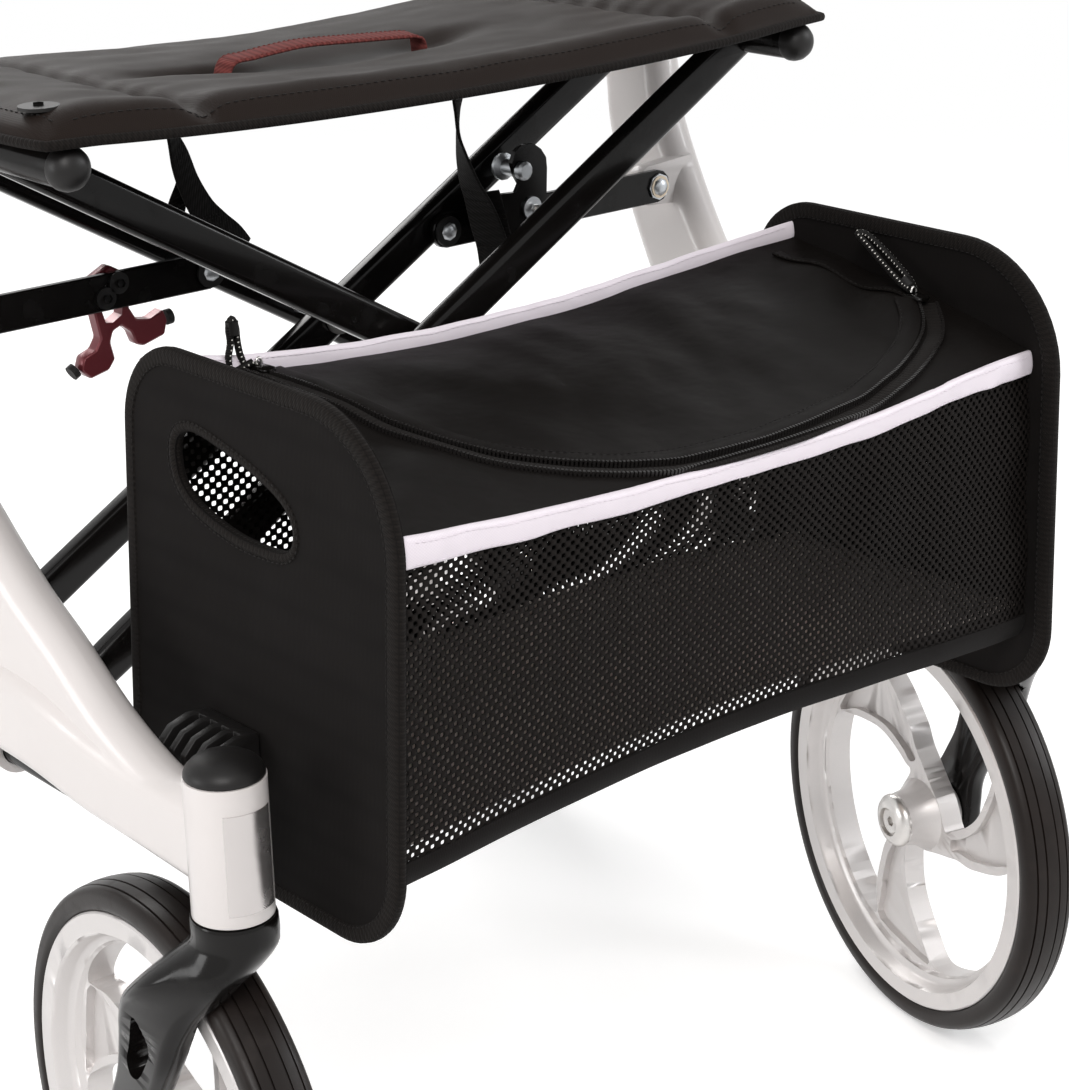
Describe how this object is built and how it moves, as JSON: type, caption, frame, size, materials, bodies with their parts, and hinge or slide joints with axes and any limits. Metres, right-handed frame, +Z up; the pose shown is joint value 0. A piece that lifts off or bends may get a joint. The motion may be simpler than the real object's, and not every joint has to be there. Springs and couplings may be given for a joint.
{
  "type": "rollator",
  "caption": "Folding rollator with swept side frames, cross brace under a sling seat, front bag, swivelling spoked wheels and raised handles.",
  "frame": {"origin": "on the floor midway between the side frames, level with the middle of the lower hinge rails", "axes": "+X across from the near side frame to the far one, -Y the walking direction (front wheels), +Z up"},
  "size_m": [0.6164, 0.6988, 0.9278],
  "materials": {
    "paint_white": "gloss",
    "paint_black": "gloss",
    "paint_silver": "satin",
    "steel": "polished",
    "maroon": "satin",
    "plastic_black": "matt",
    "rubber": "matt",
    "tyre": "matt",
    "seat_fabric": "woven",
    "bag_fabric": "woven",
    "webbing_red": "woven"
  },
  "bodies": {
    "side_near": {"frame_near": "paint_white", "head_cap_near": "plastic_black", "collar_near": "plastic_black", "link_bolt_outer_near": "steel", "rear_wheel_near_axle": "steel", "bag_panel_near": "bag_fabric", "bag_hook_near": "plastic_black", "bag_body": "bag_fabric", "bag_lid": "bag_fabric", "backrest": "seat_fabric"},
    "side_far": {"frame_far": "paint_white", "head_cap_far": "plastic_black", "collar_far": "plastic_black", "link_bolt_outer_far": "steel", "rear_wheel_far_axle": "steel", "bag_panel_far": "bag_fabric", "bag_hook_far": "plastic_black"},
    "brace_first": {"brace_a": "paint_black", "brace_bolt_front": "steel", "brace_bolt_rear": "steel", "rail_cap_far": "plastic_black"},
    "brace_second": {"brace_b": "paint_black", "rail_cap_near": "plastic_black", "seat": "seat_fabric", "seat_strap": "webbing_red"},
    "guide_near": {"link_near": "paint_black", "link_bolt_inner_near": "steel", "lock_claw": "maroon", "claw_screw_1": "plastic_black", "claw_screw_2": "plastic_black", "claw_tip_1": "rubber", "claw_tip_2": "rubber"},
    "caster_near": {"fork_near": "paint_black", "front_wheel_near_axle": "steel"},
    "front_wheel_near": {"front_wheel_near_rim": "paint_silver", "front_wheel_near_tyre": "tyre"},
    "rear_wheel_near": {"rear_wheel_near_rim": "paint_silver", "rear_wheel_near_tyre": "tyre"},
    "handle_near": {"handle_post_near": "paint_silver", "grip_near": "rubber"},
    "lever_near": {"brake_lever_near": "plastic_black"},
    "shoe_near": {"brake_shoe_near": "plastic_black"},
    "button_near": {"height_button_near": "maroon"},
    "guide_far": {"link_far": "paint_black", "link_bolt_inner_far": "steel", "lock_keeper": "paint_black", "lock_pin": "steel", "lock_keeper_bolt": "steel"},
    "caster_far": {"fork_far": "paint_black", "front_wheel_far_axle": "steel"},
    "front_wheel_far": {"front_wheel_far_rim": "paint_silver", "front_wheel_far_tyre": "tyre"},
    "rear_wheel_far": {"rear_wheel_far_rim": "paint_silver", "rear_wheel_far_tyre": "tyre"},
    "handle_far": {"handle_post_far": "paint_silver", "grip_far": "rubber"},
    "lever_far": {"brake_lever_far": "plastic_black"},
    "shoe_far": {"brake_shoe_far": "plastic_black"},
    "button_far": {"height_button_far": "maroon"}
  },
  "joints": [
    {"name": "fold", "type": "hinge", "parent": "side_near", "child": "brace_first", "pos_m": [-0.236, 0, 0.279], "axis": [0, -1, 0], "range_deg": [0, 25], "deforming": ["bag_body", "bag_lid", "backrest"]},
    {"name": "cross", "type": "hinge", "parent": "brace_first", "child": "brace_second", "pos_m": [0, 0, 0.43664], "axis": [0, 1, 0], "range_deg": [0, 50], "deforming": ["seat", "seat_strap"]},
    {"name": "far_side_hinge", "type": "hinge", "parent": "brace_second", "child": "side_far", "pos_m": [0.236, 0, 0.279], "axis": [0, -1, 0], "range_deg": [0, 25]},
    {"name": "guide_near_pivot", "type": "hinge", "parent": "side_near", "child": "guide_near", "pos_m": [-0.225, 0, 0.472], "axis": [0, -1, 0], "range_deg": [0, 52]},
    {"name": "caster_near_swivel", "type": "hinge", "parent": "side_near", "child": "caster_near", "pos_m": [-0.248, -0.298, 0.2], "axis": [0, 0, 1], "continuous": true},
    {"name": "front_wheel_near_spin", "type": "hinge", "parent": "caster_near", "child": "front_wheel_near", "pos_m": [-0.24309, -0.23118, 0.1253], "axis": [0.9973, -0.0732, 0], "continuous": true},
    {"name": "rear_wheel_near_spin", "type": "hinge", "parent": "side_near", "child": "rear_wheel_near", "pos_m": [-0.284, 0.232, 0.1], "axis": [1, 0, 0], "continuous": true},
    {"name": "handle_near_height", "type": "slide", "parent": "side_near", "child": "handle_near", "axis": [0, 0.309, 0.9511], "range_m": [-0.025, 0.075]},
    {"name": "lever_near_squeeze", "type": "hinge", "parent": "handle_near", "child": "lever_near", "pos_m": [-0.264, 0.1521, 0.87818], "axis": [1, 0, 0], "range_deg": [0, 16], "stiffness_Nm_per_rad": 1.5},
    {"name": "shoe_near_press", "type": "hinge", "parent": "side_near", "child": "shoe_near", "pos_m": [-0.25, 0.168, 0.246], "axis": [1, 0, 0], "range_deg": [0, 2.5]},
    {"name": "button_near_press", "type": "slide", "parent": "side_near", "child": "button_near", "axis": [1, 0, 0], "range_m": [0, 0.003], "stiffness_N_per_m": 1500},
    {"name": "guide_far_pivot", "type": "hinge", "parent": "side_far", "child": "guide_far", "pos_m": [0.225, 0, 0.472], "axis": [0, 1, 0], "range_deg": [0, 52]},
    {"name": "caster_far_swivel", "type": "hinge", "parent": "side_far", "child": "caster_far", "pos_m": [0.248, -0.298, 0.2], "axis": [0, 0, 1], "continuous": true},
    {"name": "front_wheel_far_spin", "type": "hinge", "parent": "caster_far", "child": "front_wheel_far", "pos_m": [0.2641, -0.23296, 0.1253], "axis": [0.9707, -0.2402, 0], "continuous": true},
    {"name": "rear_wheel_far_spin", "type": "hinge", "parent": "side_far", "child": "rear_wheel_far", "pos_m": [0.284, 0.232, 0.1], "axis": [1, 0, 0], "continuous": true},
    {"name": "handle_far_height", "type": "slide", "parent": "side_far", "child": "handle_far", "axis": [0, 0.309, 0.9511], "range_m": [-0.025, 0.075]},
    {"name": "lever_far_squeeze", "type": "hinge", "parent": "handle_far", "child": "lever_far", "pos_m": [0.264, 0.1521, 0.87818], "axis": [1, 0, 0], "range_deg": [0, 16], "stiffness_Nm_per_rad": 1.5},
    {"name": "shoe_far_press", "type": "hinge", "parent": "side_far", "child": "shoe_far", "pos_m": [0.25, 0.168, 0.246], "axis": [1, 0, 0], "range_deg": [0, 2.5]},
    {"name": "button_far_press", "type": "slide", "parent": "side_far", "child": "button_far", "axis": [-1, 0, 0], "range_m": [0, 0.003], "stiffness_N_per_m": 1500}
  ],
  "couplings": [
    {"joint": "cross", "follows": "fold", "ratio": 2},
    {"joint": "far_side_hinge", "follows": "fold", "ratio": 1},
    {"joint": "guide_near_pivot", "follows": "fold", "ratio": 2.08},
    {"joint": "shoe_near_press", "follows": "lever_near_squeeze", "ratio": 0.15},
    {"joint": "guide_far_pivot", "follows": "fold", "ratio": 2.08},
    {"joint": "shoe_far_press", "follows": "lever_far_squeeze", "ratio": 0.15}
  ]
}
